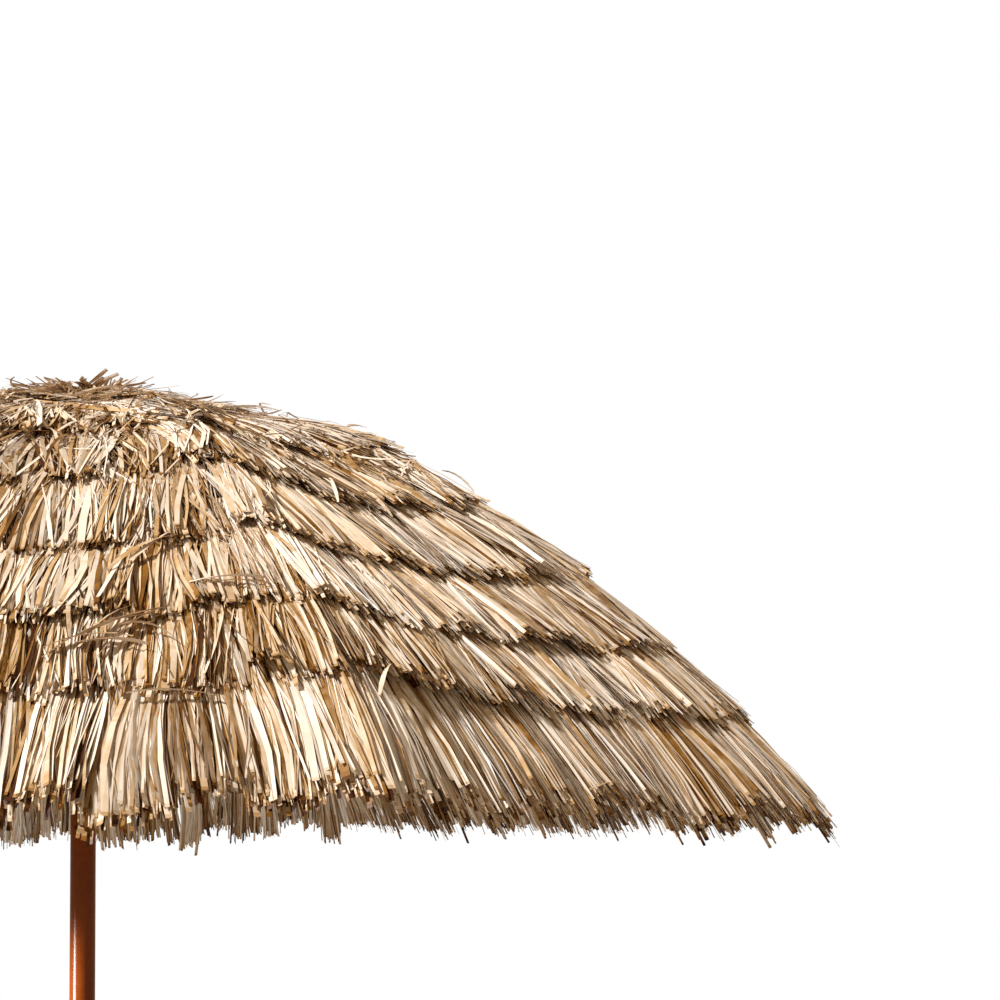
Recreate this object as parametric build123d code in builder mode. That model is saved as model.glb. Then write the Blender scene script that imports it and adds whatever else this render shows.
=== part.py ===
from build123d import *
import math
import os

# A thatched beach umbrella: a push-up fold with eight bowed ribs on a two-piece pole.
# Millimetres, +Z up, origin at the middle of the pole's lower end. Rib k stands at 22.5 + 45 k degrees,
# so the canopy's flat sides face the X and Y axes.

os.makedirs("parts", exist_ok=True)

RIBS = 8
STEP = 360 / RIBS
FIRST = 22.5

# pole
LOWER_R, LOWER_BORE_R = 19.0, 17.55
UPPER_R, UPPER_BORE_R = 17.45, 16.2
LOWER_TOP, UPPER_BOTTOM, UPPER_TOP = 1000.0, 650.0, 2213.0
PLUG_LIP = 6.0
# the lower pole is drawn in by a quarter of a millimetre where the clamp collar is pressed on
NECK_R, NECK_LOW = 18.75, 925.0

# clamp between the two poles
COLLAR_LOW, COLLAR_HIGH, COLLAR_R = 930.0, 1012.0, 25.0
CLAMP_Z, CLAMP_AZ = 968.0, -22.5
SHANK_R, KNOB_R = 4.0, 17.0

# ribs: a bowed twelve-sided rod from its eye in the hub to its tip
PIVOT_R, PIVOT_Z = 30.0, 2210.0
TIP_R, TIP_Z = 915.0, 1720.0
BOW = 75.0
ROD_R, ROD_SIDES = 3.0, 12
TONGUE = 2.2

# stretchers: as long as the stretch of rib above them
JOINT_TURN, JOINT_DROP = 13.8, 8.5
PIN_R, T_PIN_R, T_PIN = 1.9, 1.8, 9.2

# hub and runner
HUB_R, RUNNER_R, SLEEVE_R, RUNNER_BORE_R = 36.0, 36.0, 23.5, 17.85
RING_R, WIRE_R = PIVOT_R, 1.25
BUTTON_AZ, BUTTON_R, BUTTON_OUT = 112.5, 3.0, 20.4

# canopy
FABRIC_LOW, FABRIC_THICK, FABRIC_START, FABRIC_END = 6.5, 1.5, 46.0, 910.0
FABRIC_SPANS = 10
GAP_ANGLE = 0.04
# each course of thatch ends at a radius and a height over a rib
CROWN = (78.0, 2268.0)
COURSES = [(240, 2227), (440, 2152), (580, 2058), (720, 1952), (825, 1850), (907, 1762), (990, 1650)]
LIP, SKIN = 7.0, 3.5
MID_DROP = 14.0


def rib_plane(azimuth):
    a = math.radians(azimuth)
    return Plane(origin=(0, 0, 0), x_dir=(math.cos(a), math.sin(a), 0), z_dir=(math.sin(a), -math.cos(a), 0))


def spoke_plane(azimuth, radius, z):
    a = math.radians(azimuth)
    out = (math.cos(a), math.sin(a), 0)
    return Plane(origin=(radius * out[0], radius * out[1], z), x_dir=(0, 0, 1), z_dir=out)


# the rib's arc
CHORD = math.hypot(TIP_R - PIVOT_R, PIVOT_Z - TIP_Z)
SLOPE = math.atan2(PIVOT_Z - TIP_Z, TIP_R - PIVOT_R)
HALF_TURN = 2 * math.atan(2 * BOW / CHORD)
ARC_R = CHORD / 2 / math.sin(HALF_TURN)


def on_arc(turned, lift=0.0):
    """Radius and height on the rib's arc after it has turned so many radians, lifted off it by lift."""
    first = SLOPE - HALF_TURN
    r = PIVOT_R + ARC_R * (math.sin(first + turned) - math.sin(first))
    z = PIVOT_Z - ARC_R * (math.cos(first) - math.cos(first + turned))
    return r + lift * math.sin(first + turned), z + lift * math.cos(first + turned)


def turned_at(radius, lift=0.0):
    low, high = -0.1, 2 * HALF_TURN + 0.2
    for _ in range(50):
        mid = (low + high) / 2
        if on_arc(mid, lift)[0] < radius:
            low = mid
        else:
            high = mid
    return low


JOINT = on_arc(math.radians(JOINT_TURN), -JOINT_DROP)
ARM = math.hypot(JOINT[0] - PIVOT_R, PIVOT_Z - JOINT[1])
ARM_ANGLE = math.degrees(math.atan2(JOINT[0] - PIVOT_R, PIVOT_Z - JOINT[1]))
RUNNER_Z = PIVOT_Z - 2 * (PIVOT_Z - JOINT[1])
BUTTON_Z = RUNNER_Z - 68.0


def write(piece, name):
    piece.part.label = name
    export_step(piece.part, f"parts/{name}.step")


# ---- lower pole, its plug, clamp collar and nut ----
with BuildPart() as lower_pole:
    with BuildSketch(Plane.XY.offset(PLUG_LIP)):
        Circle(LOWER_R)
        Circle(LOWER_BORE_R, mode=Mode.SUBTRACT)
    extrude(amount=NECK_LOW - PLUG_LIP)
    with BuildSketch(Plane.XY.offset(NECK_LOW)):
        Circle(NECK_R)
        Circle(LOWER_BORE_R, mode=Mode.SUBTRACT)
    extrude(amount=LOWER_TOP - NECK_LOW)
    with BuildSketch(spoke_plane(CLAMP_AZ, 10, CLAMP_Z)):
        Circle(SHANK_R + 0.5)
    extrude(amount=15, mode=Mode.SUBTRACT)
write(lower_pole, "lower_pole")

with BuildPart() as foot_plug:
    with BuildSketch():
        Circle(LOWER_R)
    extrude(amount=PLUG_LIP)
    chamfer(foot_plug.edges().group_by(Axis.Z)[0], 1.0)
    with BuildSketch(Plane.XY.offset(PLUG_LIP)):
        Circle(LOWER_BORE_R - 0.1)
        Circle(LOWER_BORE_R - 3, mode=Mode.SUBTRACT)
    extrude(amount=32)
write(foot_plug, "foot_plug")

with BuildPart() as clamp_collar:
    with BuildSketch(Plane.XY.offset(COLLAR_LOW)):
        Circle(COLLAR_R)
    extrude(amount=COLLAR_HIGH - COLLAR_LOW)
    fillet(clamp_collar.edges().filter_by(GeomType.CIRCLE), 3.0)
    with BuildSketch(spoke_plane(CLAMP_AZ, 12, CLAMP_Z)):
        Circle(10.5)
    extrude(amount=24)
    with BuildSketch(Plane.XY.offset(COLLAR_LOW - 1)):
        Circle(NECK_R + 0.05)
    extrude(amount=LOWER_TOP - COLLAR_LOW + 1.05, mode=Mode.SUBTRACT)
    with BuildSketch(Plane.XY.offset(LOWER_TOP)):
        Circle(UPPER_R + 0.15)
    extrude(amount=20, mode=Mode.SUBTRACT)
    with BuildSketch(spoke_plane(CLAMP_AZ, 12, CLAMP_Z)):
        Circle(SHANK_R + 0.5)
    extrude(amount=30, mode=Mode.SUBTRACT)
    with BuildSketch(spoke_plane(CLAMP_AZ, 27, CLAMP_Z)):
        Circle(6.55)
    extrude(amount=12, mode=Mode.SUBTRACT)
write(clamp_collar, "clamp_collar")

with BuildPart() as clamp_nut:
    with BuildSketch(spoke_plane(CLAMP_AZ, 27.05, CLAMP_Z)):
        Circle(6.5)
        Circle(SHANK_R + 0.08, mode=Mode.SUBTRACT)
    extrude(amount=8.9)
write(clamp_nut, "clamp_nut")

with BuildPart() as thumb_screw:
    with BuildSketch(spoke_plane(CLAMP_AZ, UPPER_R + 0.2, CLAMP_Z)):
        Circle(SHANK_R)
    extrude(amount=40 - UPPER_R)
    with BuildSketch(spoke_plane(CLAMP_AZ, 38.5, CLAMP_Z)):
        Circle(10)
    extrude(amount=5)
    with BuildSketch(spoke_plane(CLAMP_AZ, 43, CLAMP_Z)):
        Circle(KNOB_R - 3)
        with PolarLocations(KNOB_R - 5, 6):
            Circle(5)
    extrude(amount=14)
    fillet(thumb_screw.faces().sort_by(Axis((0, 0, 0), spoke_plane(CLAMP_AZ, 1, 0).z_dir))[-1].edges(), 1.5)
write(thumb_screw, "thumb_screw")

# ---- upper pole, hub and crown ----
with BuildPart() as upper_pole:
    with BuildSketch(Plane.XY.offset(UPPER_BOTTOM)):
        Circle(UPPER_R)
        Circle(UPPER_BORE_R, mode=Mode.SUBTRACT)
    extrude(amount=UPPER_TOP - UPPER_BOTTOM)
    with BuildSketch(spoke_plane(BUTTON_AZ, 10, BUTTON_Z)):
        Circle(BUTTON_R + 0.15)
    extrude(amount=15, mode=Mode.SUBTRACT)
write(upper_pole, "upper_pole")

with BuildPart() as top_hub:
    with BuildSketch(Plane.XZ):
        with BuildLine():
            Polyline(
                (UPPER_R + 0.05, PIVOT_Z - 42),
                (UPPER_R + 5, PIVOT_Z - 42),
                (UPPER_R + 5, PIVOT_Z - 6),
                (HUB_R, PIVOT_Z - 6),
                (HUB_R, PIVOT_Z + 10),
                (0, PIVOT_Z + 10),
                (0, UPPER_TOP + 0.1),
                (UPPER_R + 0.05, UPPER_TOP + 0.1),
                close=True,
            )
        make_face()
    revolve(axis=Axis.Z)
    for k in range(RIBS):
        with BuildSketch(rib_plane(FIRST + STEP * k)):
            with Locations((PIVOT_R + 5, PIVOT_Z - 1)):
                Rectangle(20, 13)
        extrude(amount=1.5, both=True, mode=Mode.SUBTRACT)
    with Locations((0, 0, PIVOT_Z)):
        Torus(RING_R, WIRE_R + 0.05, mode=Mode.SUBTRACT)
write(top_hub, "top_hub")

with BuildPart() as hub_ring:
    with Locations((0, 0, PIVOT_Z)):
        Torus(RING_R, WIRE_R)
write(hub_ring, "hub_ring")

CAP_Z = PIVOT_Z + 10
with BuildPart() as crown_patch:
    with BuildSketch(Plane.XY.offset(CAP_Z + 0.1)):
        Circle(64)
        Circle(5.2, mode=Mode.SUBTRACT)
    extrude(amount=1.2)
write(crown_patch, "crown_patch")

with BuildPart() as crown_cap:
    with BuildSketch(Plane.XY.offset(CAP_Z + 1.4)):
        Circle(33)
    extrude(amount=7)
    fillet(crown_cap.edges().group_by(Axis.Z)[-1], 4)
    with BuildSketch(Plane.XY.offset(CAP_Z)):
        Circle(5.2)
    extrude(amount=20, mode=Mode.SUBTRACT)
write(crown_cap, "crown_cap")

with BuildPart() as crown_screw:
    with BuildSketch(Plane.XY.offset(CAP_Z + 0.1)):
        Circle(4.9)
    extrude(amount=12)
    with BuildSketch(Plane.XY.offset(CAP_Z + 8.5)):
        Circle(12)
    extrude(amount=8)
    fillet(crown_screw.edges().group_by(Axis.Z)[-1], 5)
write(crown_screw, "crown_screw")

with BuildPart() as crown_tuft:
    with BuildSketch(Plane.XZ):
        with BuildLine():
            Polyline(
                (0, 2291), (34, 2288), (66, 2277), (64, 2269), (34, 2279), (0, 2282), close=True
            )
        make_face()
    revolve(axis=Axis.Z)
write(crown_tuft, "crown_tuft")

with BuildPart() as catch_button:
    with BuildSketch(spoke_plane(BUTTON_AZ, 11, BUTTON_Z)):
        Circle(BUTTON_R)
    extrude(amount=BUTTON_OUT - 11)
    ends = catch_button.edges().filter_by(GeomType.CIRCLE)
    fillet(ends.sort_by_distance(spoke_plane(BUTTON_AZ, 30, BUTTON_Z).origin)[0], 1.4)
write(catch_button, "catch_button")

# ---- runner, slotted for the stretchers' cross pins ----
with BuildPart() as runner:
    with BuildSketch(Plane.XY.offset(RUNNER_Z - 60)):
        Circle(SLEEVE_R)
    extrude(amount=68)
    with BuildSketch(Plane.XY.offset(RUNNER_Z - 6)):
        Circle(RUNNER_R)
    extrude(amount=14)
    with BuildSketch(Plane.XY.offset(RUNNER_Z - 60)):
        Circle(SLEEVE_R + 3.5)
    extrude(amount=5)
    with BuildSketch(Plane.XY.offset(RUNNER_Z - 61)):
        Circle(RUNNER_BORE_R)
    extrude(amount=80, mode=Mode.SUBTRACT)
    with BuildSketch(Plane.XY.offset(RUNNER_Z - 61)):
        with PolarLocations(RUNNER_BORE_R, 1, start_angle=BUTTON_AZ):
            Rectangle(6.6, 7.2)
    extrude(amount=80, mode=Mode.SUBTRACT)
    with BuildSketch(Plane.XY.offset(RUNNER_Z - 10)):
        with PolarLocations(PIVOT_R + 4, RIBS, start_angle=FIRST):
            Rectangle(16, 7.2)
    extrude(amount=30, mode=Mode.SUBTRACT)
    with BuildSketch(Plane.XY.offset(RUNNER_Z - 10)):
        with PolarLocations(PIVOT_R, RIBS, start_angle=FIRST):
            Rectangle(4.4, T_PIN + 0.8)
    extrude(amount=13, mode=Mode.SUBTRACT)
write(runner, "runner")

# ---- ribs, their tips and their stretchers ----
ROD_START = turned_at(PIVOT_R + 12.0 * math.cos(SLOPE - HALF_TURN))
for k in range(RIBS):
    azimuth = FIRST + STEP * k
    plane = rib_plane(azimuth)
    with BuildPart() as rib:
        with BuildLine(plane) as path:
            ThreePointArc(on_arc(ROD_START), on_arc((ROD_START + 2 * HALF_TURN) / 2), on_arc(2 * HALF_TURN))
        with BuildSketch(Plane(origin=path.line @ 0, x_dir=plane.z_dir, z_dir=path.line % 0)):
            RegularPolygon(ROD_R, ROD_SIDES)
        sweep()
        with BuildSketch(plane):
            with BuildLine():
                tail = on_arc(ROD_START + 14 / ARC_R)
                Polyline(
                    (PIVOT_R - 0.8, PIVOT_Z - 3.9),
                    (PIVOT_R + 0.8, PIVOT_Z + 3.9),
                    (tail[0], tail[1] + 2.2),
                    (tail[0] - 0.8, tail[1] - 2.2),
                    close=True,
                )
            make_face()
            with Locations((PIVOT_R, PIVOT_Z)):
                Circle(4)
        extrude(amount=TONGUE / 2, both=True)
        with BuildSketch(plane):
            with BuildLine():
                Polyline(
                    on_arc(math.radians(JOINT_TURN) - 7 / ARC_R, -1.5),
                    on_arc(math.radians(JOINT_TURN) + 7 / ARC_R, -1.5),
                    on_arc(math.radians(JOINT_TURN) + 3.9 / ARC_R, -JOINT_DROP),
                    on_arc(math.radians(JOINT_TURN) - 3.9 / ARC_R, -JOINT_DROP),
                    close=True,
                )
            make_face()
            with Locations(JOINT):
                Circle(4)
        extrude(amount=TONGUE / 2, both=True)
        with BuildSketch(plane):
            with Locations((PIVOT_R, PIVOT_Z)):
                Circle(WIRE_R + 0.12)
            with Locations(JOINT):
                Circle(PIN_R + 0.06)
        extrude(amount=6, both=True, mode=Mode.SUBTRACT)
    write(rib, f"rib_{k + 1}")

    back, front = on_arc(2 * HALF_TURN - 16 / ARC_R), on_arc(2 * HALF_TURN + 5 / ARC_R)
    axis_dir = plane.x_dir * (front[0] - back[0]) + plane.y_dir * (front[1] - back[1])
    with BuildPart() as rib_tip:
        with BuildSketch(Plane(origin=plane.from_local_coords((back[0], back[1], 0)), z_dir=axis_dir)):
            Circle(4.6)
        extrude(amount=axis_dir.length)
        ends = rib_tip.edges().filter_by(GeomType.CIRCLE)
        fillet(ends.sort_by_distance(plane.from_local_coords((back[0], back[1], 0)))[-1], 3.5)
        with BuildSketch(Plane(origin=plane.from_local_coords((back[0], back[1], 0)), z_dir=axis_dir)):
            Circle(ROD_R + 0.12)
        extrude(amount=16.4, mode=Mode.SUBTRACT)
    write(rib_tip, f"rib_tip_{k + 1}")

    low = (PIVOT_R, RUNNER_Z)
    unit = ((JOINT[0] - low[0]) / ARM, (JOINT[1] - low[1]) / ARM)
    rod_dir = plane.x_dir * unit[0] + plane.y_dir * unit[1]
    with BuildPart() as stretcher:
        with BuildSketch(Plane(origin=plane.from_local_coords((low[0], low[1], 0)), z_dir=rod_dir)):
            Circle(ROD_R)
        extrude(amount=ARM - 10)
        with Locations(plane.from_local_coords((low[0], low[1], 0))):
            Sphere(ROD_R)
        with BuildSketch(plane):
            with Locations(low):
                Circle(T_PIN_R)
        extrude(amount=T_PIN / 2, both=True)
        with BuildSketch(plane):
            with BuildLine():
                side = (-unit[1] * 4.2, unit[0] * 4.2)
                neck = (JOINT[0] - unit[0] * 18, JOINT[1] - unit[1] * 18)
                Polyline(
                    (JOINT[0] + side[0], JOINT[1] + side[1]),
                    (JOINT[0] - side[0], JOINT[1] - side[1]),
                    (neck[0] - side[0] * 0.66, neck[1] - side[1] * 0.66),
                    (neck[0] + side[0] * 0.66, neck[1] + side[1] * 0.66),
                    close=True,
                )
            make_face()
            with Locations(JOINT):
                Circle(4.2)
        extrude(amount=2.9, both=True)
        with BuildSketch(plane):
            with Locations(JOINT):
                Circle(8.5)
        extrude(amount=TONGUE / 2 + 0.25, both=True, mode=Mode.SUBTRACT)
        with BuildSketch(plane):
            with Locations(JOINT):
                Circle(PIN_R)
        extrude(amount=4.4, both=True)
    write(stretcher, f"stretcher_{k + 1}")


# ---- fabric and thatch, one panel to a rib, from mid-side to mid-side ----
def at_mid(point):
    """The same point of the section at the middle of a side, where the canopy is flat between two ribs and hangs."""
    r, z = point
    return r * math.cos(math.radians(STEP / 2)), z - MID_DROP * (r / TIP_R) ** 2


def lifted(points, lift):
    """A line of points moved off itself by lift."""
    out = []
    for n, (r, z) in enumerate(points):
        before, after = points[max(n - 1, 0)], points[min(n + 1, len(points) - 1)]
        dr, dz = after[0] - before[0], after[1] - before[1]
        size = math.hypot(dr, dz)
        out.append((r - lift * dz / size, z + lift * dr / size))
    return out


fabric_turns = [
    turned_at(FABRIC_START, FABRIC_LOW)
    + (turned_at(FABRIC_END, FABRIC_LOW) - turned_at(FABRIC_START, FABRIC_LOW)) * n / FABRIC_SPANS
    for n in range(FABRIC_SPANS + 1)
]
fabric_under = [on_arc(t, FABRIC_LOW) for t in fabric_turns]
fabric_over = [on_arc(t, FABRIC_LOW + FABRIC_THICK) for t in fabric_turns]
FABRIC_SECTION = fabric_under + fabric_over[::-1]

crest = [CROWN] + COURSES
under = lifted(crest, -LIP - SKIN)
outer = [crest[0]]
for n, tip in enumerate(COURSES):
    outer.append(tip)
    if n < len(COURSES) - 1:
        outer.append(lifted(crest, -LIP)[n + 1])
THATCH_SECTION = outer + under[::-1]

for k in range(RIBS):
    azimuth = FIRST + STEP * k
    for name, section in (("canopy_panel", FABRIC_SECTION), ("thatch_panel", THATCH_SECTION)):
        edges = [(azimuth - STEP / 2 + GAP_ANGLE, True), (azimuth, False), (azimuth + STEP / 2 - GAP_ANGLE, True)]
        with BuildPart() as panel:
            for angle, mid in edges:
                with BuildSketch(rib_plane(angle)):
                    with BuildLine():
                        Polyline(*[at_mid(p) if mid else p for p in section], close=True)
                    make_face()
            loft(ruled=True)
        write(panel, f"{name}_{k + 1}")

print("stretcher length", round(ARM, 3), "angle from vertical", round(ARM_ANGLE, 4))
print("runner z", round(RUNNER_Z, 3), "joint", [round(v, 3) for v in JOINT], "button z", round(BUTTON_Z, 3))
print("slope", round(math.degrees(SLOPE), 3), "half turn", round(math.degrees(HALF_TURN), 3), "arc", round(ARC_R, 2))
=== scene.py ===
import math

import bmesh
import bpy
import numpy as np
from mathutils import Matrix, Vector


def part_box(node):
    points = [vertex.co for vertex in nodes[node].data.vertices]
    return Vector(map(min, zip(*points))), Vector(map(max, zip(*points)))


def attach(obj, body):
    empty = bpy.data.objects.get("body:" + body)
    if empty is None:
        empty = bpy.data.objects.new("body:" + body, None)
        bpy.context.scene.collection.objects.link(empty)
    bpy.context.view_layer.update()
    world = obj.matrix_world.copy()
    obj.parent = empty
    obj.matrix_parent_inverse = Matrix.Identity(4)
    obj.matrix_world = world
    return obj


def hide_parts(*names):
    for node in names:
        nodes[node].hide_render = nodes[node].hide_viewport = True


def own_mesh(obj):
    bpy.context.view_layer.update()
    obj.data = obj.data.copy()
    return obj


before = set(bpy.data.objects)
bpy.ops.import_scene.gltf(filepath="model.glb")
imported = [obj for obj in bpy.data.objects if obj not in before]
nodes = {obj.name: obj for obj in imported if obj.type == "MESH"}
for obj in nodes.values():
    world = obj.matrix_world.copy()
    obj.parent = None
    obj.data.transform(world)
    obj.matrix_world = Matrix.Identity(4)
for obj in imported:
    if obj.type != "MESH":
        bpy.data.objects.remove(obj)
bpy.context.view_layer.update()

scene = bpy.context.scene
eighth = math.pi / 8
print("frame loaded")

# the rib's arc out from its pivot in the hub, in metres and degrees
ribArc = {"radius": 1.74304, "start": 12.103, "pivotRho": 0.030, "pivotZ": 2.210}
arcStart = math.radians(ribArc["start"])
arcMiddle = (
    ribArc["pivotRho"] - ribArc["radius"] * math.sin(arcStart),
    ribArc["pivotZ"] - ribArc["radius"] * math.cos(arcStart),
)

# the thatch's outer line over a rib, how it hangs between the ribs, and the cloth under it
canopy = {
    "crestRho": [-0.24, 0.0, 0.078, 0.240, 0.440, 0.580, 0.720, 0.825, 0.907, 0.990, 1.030],
    "crestZ": [2.210, 2.274, 2.259, 2.210, 2.161, 2.064, 1.961, 1.865, 1.782, 1.662, 1.604],
    "crestDegree": 7,
    "steepest": -1.6,
    "hangRho": [0.0, 0.25, 0.5, 0.72, 0.825, 0.907, 0.99, 1.05],
    "hang": [0.0, 0.008, 0.022, 0.024, 0.019, 0.016, 0.010, 0.009],
    "dipRho": [0.0, 0.2, 0.42, 0.6, 0.82],
    "dip": [0.0, 0.6, 1.0, 1.0, 0.0],
    "ribDip": [0.008, 0.013, 0.006, 0.012, 0.009, 0.011, 0.016, 0.001],
    "ribReach": [0.004, -0.002, 0.006, 0.002, 0.006, -0.001, 0.002, 0.015],
    "clothSag": 0.014,
    "sagRho": 0.915,
    "arcTo": 0.93,
    "clothFrom": 0.046,
    "clothTo": 0.910,
}
crest = np.polynomial.Polynomial.fit(canopy["crestRho"], canopy["crestZ"], canopy["crestDegree"])
steep = crest.deriv()


def acrossPlan(x, y):
    # ring radius over a rib, place across the side from -1 to 1, and the side's number
    turn = np.arange(8) * 2 * eighth
    out = x[..., None] * np.cos(turn) + y[..., None] * np.sin(turn)
    side = out.argmax(-1)
    n = out.max(-1)
    w = y * np.cos(turn[side]) - x * np.sin(turn[side])
    return n / math.cos(eighth), np.clip(w / (n * math.tan(eighth) + 1e-6), -1, 1), side


def betweenRibs(values, u, side):
    values = np.asarray(values)
    return values[(side - 1) % 8] * (1 - u) / 2 + values[side] * (1 + u) / 2


def thatchHeight(rho, u, side, under):
    # height of a point a given depth under the thatch's outer line
    slope = np.clip(steep(rho), canopy["steepest"], 0)
    hang = np.interp(rho, canopy["hangRho"], canopy["hang"]) * (1 - u * u)
    dip = np.interp(rho, canopy["dipRho"], canopy["dip"]) * betweenRibs(canopy["ribDip"], u, side)
    return crest(rho) - hang - dip - under * np.sqrt(1 + slope * slope)


def clothHeight(rho, u, lift):
    # the cloth's middle at a lift above the rib's own line
    out = np.minimum(rho, canopy["arcTo"]) - arcMiddle[0]
    arc = arcMiddle[1] + np.sqrt((ribArc["radius"] + lift) ** 2 - out ** 2)
    return arc - canopy["clothSag"] * (rho / canopy["sagRho"]) ** 2 * (1 - u * u)


def newMaterial(name):
    made = bpy.data.materials.new(name)
    made.use_nodes = True
    tree = made.node_tree
    tree.nodes.clear()
    out = tree.nodes.new("ShaderNodeOutputMaterial")
    shader = tree.nodes.new("ShaderNodeBsdfPrincipled")
    tree.links.new(shader.outputs[0], out.inputs[0])
    return made, tree, shader, out


def node(tree, kind, inputs=None, **settings):
    made = tree.nodes.new(kind)
    for key, value in settings.items():
        setattr(made, key, value)
    for key, value in (inputs or {}).items():
        if isinstance(value, bpy.types.NodeSocket):
            tree.links.new(value, made.inputs[key])
        else:
            made.inputs[key].default_value = value
    return made


def ramp(tree, factor, stops):
    made = tree.nodes.new("ShaderNodeValToRGB")
    tree.links.new(factor, made.inputs[0])
    band = made.color_ramp
    while len(band.elements) < len(stops):
        band.elements.new(0.5)
    for element, (place, colour) in zip(band.elements, stops):
        element.position = place
        element.color = (*colour, 1)
    return made.outputs[0]


def maths(tree, what, a, b=None, c=None):
    made = tree.nodes.new("ShaderNodeMath")
    made.operation = what
    for socket, value in zip(made.inputs, (a, b, c)):
        if value is None:
            continue
        if isinstance(value, bpy.types.NodeSocket):
            tree.links.new(value, socket)
        else:
            socket.default_value = value
    return made.outputs[0]


# dry straw: the ramp runs from brown to bleached, and its darkest end carries the painted shade between the
# straws
straw = {
    "ramp": [
        (0.0, (0.050, 0.012, 0.001)), (0.20, (0.225, 0.090, 0.010)), (0.42, (0.490, 0.295, 0.128)),
        (0.64, (0.730, 0.580, 0.425)), (0.84, (0.835, 0.740, 0.645)), (1.0, (0.880, 0.840, 0.795)),
    ],
    "stretch": (3.0, 5.0, 61.0),
    "grain": 0.55,
    "blotch": 0.22,
    "blotchScale": 9.0,
    # painted shade along each straw's edges
    "edge": 0.21,
    "cutFrom": 0.985,
    "cutShade": 0.16,
    "roughness": 0.36,
    "specular": 0.25,
    "bump": 0.35,
    "bumpDepth": 0.0006,
    "glow": 0.18,
}


def strawMaterial(name, settings):
    made, tree, shader, out = newMaterial(name)
    tone = node(tree, "ShaderNodeAttribute", attribute_name="tone").outputs["Fac"]
    along = node(tree, "ShaderNodeAttribute", attribute_name="along").outputs["Fac"]
    across = node(tree, "ShaderNodeAttribute", attribute_name="edge").outputs["Fac"]
    wide, long, apart = settings["stretch"]
    place = node(
        tree, "ShaderNodeCombineXYZ",
        {"X": maths(tree, "MULTIPLY", across, wide), "Y": maths(tree, "MULTIPLY", along, long),
         "Z": maths(tree, "MULTIPLY", tone, apart)},
    ).outputs[0]
    grain = node(tree, "ShaderNodeTexNoise", {"Vector": place, "Scale": 1.0, "Detail": 3.0, "Roughness": 0.6})
    here = node(tree, "ShaderNodeTexCoord").outputs["Object"]
    patches = {"Vector": here, "Scale": settings["blotchScale"], "Detail": 2.0}
    blotch = node(tree, "ShaderNodeTexNoise", patches)
    fine = maths(tree, "SUBTRACT", grain.outputs[0], 0.5)
    value = maths(tree, "MULTIPLY_ADD", fine, settings["grain"], tone)
    broad = maths(tree, "SUBTRACT", blotch.outputs[0], 0.5)
    value = maths(tree, "MULTIPLY_ADD", broad, settings["blotch"], value)
    # painted shade: each straw is darker towards its edges
    value = maths(tree, "MULTIPLY_ADD", maths(tree, "MULTIPLY", across, across), -settings["edge"], value)
    # painted shade: the last bit of each straw and its cut end are darker
    end = maths(tree, "GREATER_THAN", along, settings["cutFrom"])
    value = maths(tree, "MULTIPLY_ADD", end, -settings["cutShade"], value)
    colour = ramp(tree, value, settings["ramp"])
    tree.links.new(colour, shader.inputs["Base Color"])
    shader.inputs["Roughness"].default_value = settings["roughness"]
    shader.inputs["Specular IOR Level"].default_value = settings["specular"]
    bump = node(
        tree, "ShaderNodeBump",
        {"Height": grain.outputs[0], "Strength": settings["bump"], "Distance": settings["bumpDepth"]},
    )
    tree.links.new(bump.outputs[0], shader.inputs["Normal"])
    through = node(tree, "ShaderNodeBsdfTranslucent", {"Color": colour})
    parts = {0: settings["glow"], 1: shader.outputs[0], 2: through.outputs[0]}
    mixed = node(tree, "ShaderNodeMixShader", parts)
    tree.links.new(mixed.outputs[0], out.inputs[0])
    return made


strawLook = strawMaterial("straw", straw)


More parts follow.
